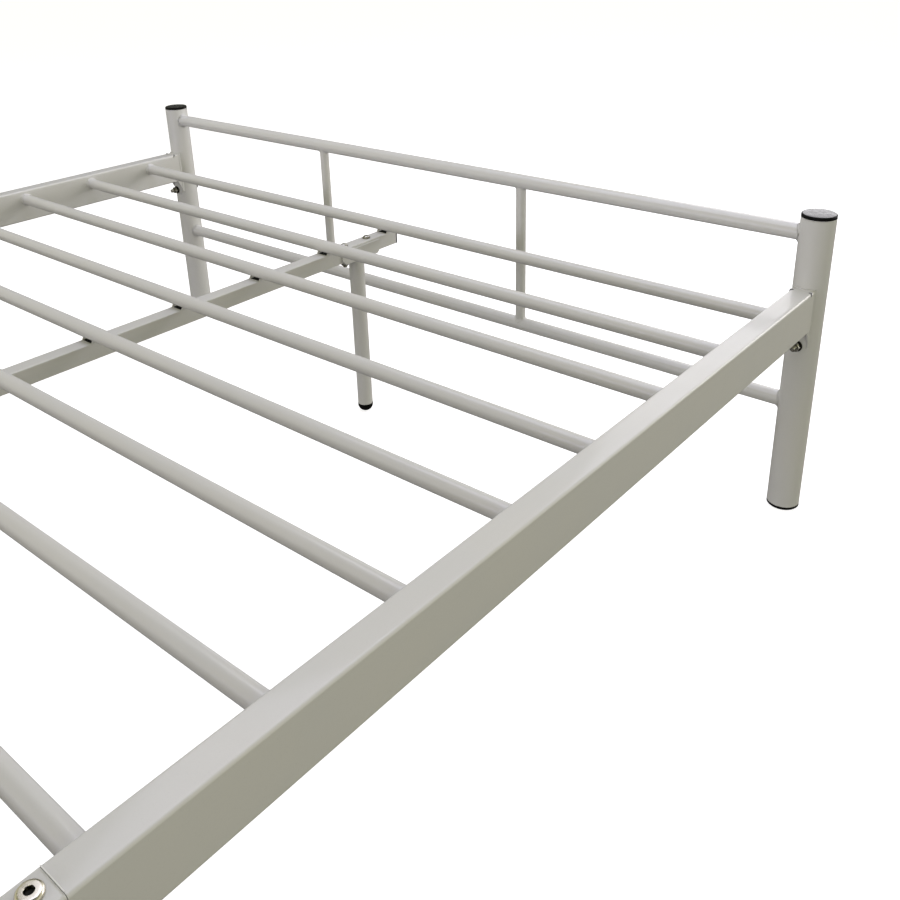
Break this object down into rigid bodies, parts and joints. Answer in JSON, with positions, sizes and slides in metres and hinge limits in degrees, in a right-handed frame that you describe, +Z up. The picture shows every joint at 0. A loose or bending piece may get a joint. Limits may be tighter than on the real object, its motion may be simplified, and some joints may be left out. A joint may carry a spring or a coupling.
{
  "type": "metal bed frame",
  "caption": "Low painted tubular steel bed frame with round posts, round cross slats between rectangular side rails, and a centre beam on legs.",
  "frame": {"origin": "on the floor under the middle of the bed", "axes": "+X across the bed to the right seen from the foot end, +Y from the foot end to the head end, +Z up"},
  "size_m": [1.2184, 1.99, 0.3775],
  "materials": {
    "paint": "satin off-white powder coat",
    "black_plastic": "satin black moulded plastic",
    "zinc": "zinc plated"
  },
  "bodies": {
    "root": {"beam_plug_foot": "black_plastic", "beam_plug_head": "black_plastic", "centre_beam_foot": "paint", "centre_beam_head": "paint", "centre_leg_foot": "paint", "centre_leg_head": "paint", "centre_leg_middle": "paint", "foot_cap_left": "black_plastic", "foot_cap_right": "black_plastic", "foot_lower_rail": "paint", "foot_post_foot_left": "black_plastic", "foot_post_foot_right": "black_plastic", "foot_post_left": "paint", "foot_post_right": "paint", "foot_spindle_left": "paint", "foot_spindle_right": "paint", "foot_top_rail": "paint", "head_cap_left": "black_plastic", "head_cap_right": "black_plastic", "head_lower_rail": "paint", "head_post_foot_left": "black_plastic", "head_post_foot_right": "black_plastic", "head_post_left": "paint", "head_post_right": "paint", "head_spindle_left": "paint", "head_spindle_right": "paint", "head_top_rail": "paint", "leg_bolt_foot_a": "zinc", "leg_bolt_foot_b": "zinc", "leg_bolt_head_a": "zinc", "leg_bolt_head_b": "zinc", "leg_foot_foot": "black_plastic", "leg_foot_head": "black_plastic", "leg_foot_middle": "black_plastic", "post_bolt_foot_left": "zinc", "post_bolt_foot_right": "zinc", "post_bolt_head_left": "zinc", "post_bolt_head_right": "zinc", "rail_joint_bolt_left": "zinc", "rail_joint_bolt_right": "zinc", "side_rail_left_foot": "paint", "side_rail_left_head": "paint", "side_rail_right_foot": "paint", "side_rail_right_head": "paint", "slat_01": "paint", "slat_02": "paint", "slat_03": "paint", "slat_04": "paint", "slat_05": "paint", "slat_06": "paint", "slat_07": "paint", "slat_08": "paint", "slat_09": "paint", "slat_10": "paint", "slat_11": "paint", "slat_12": "paint", "slat_13": "paint", "slat_14": "paint", "slat_15": "paint", "slat_16": "paint"}
  },
  "joints": []
}
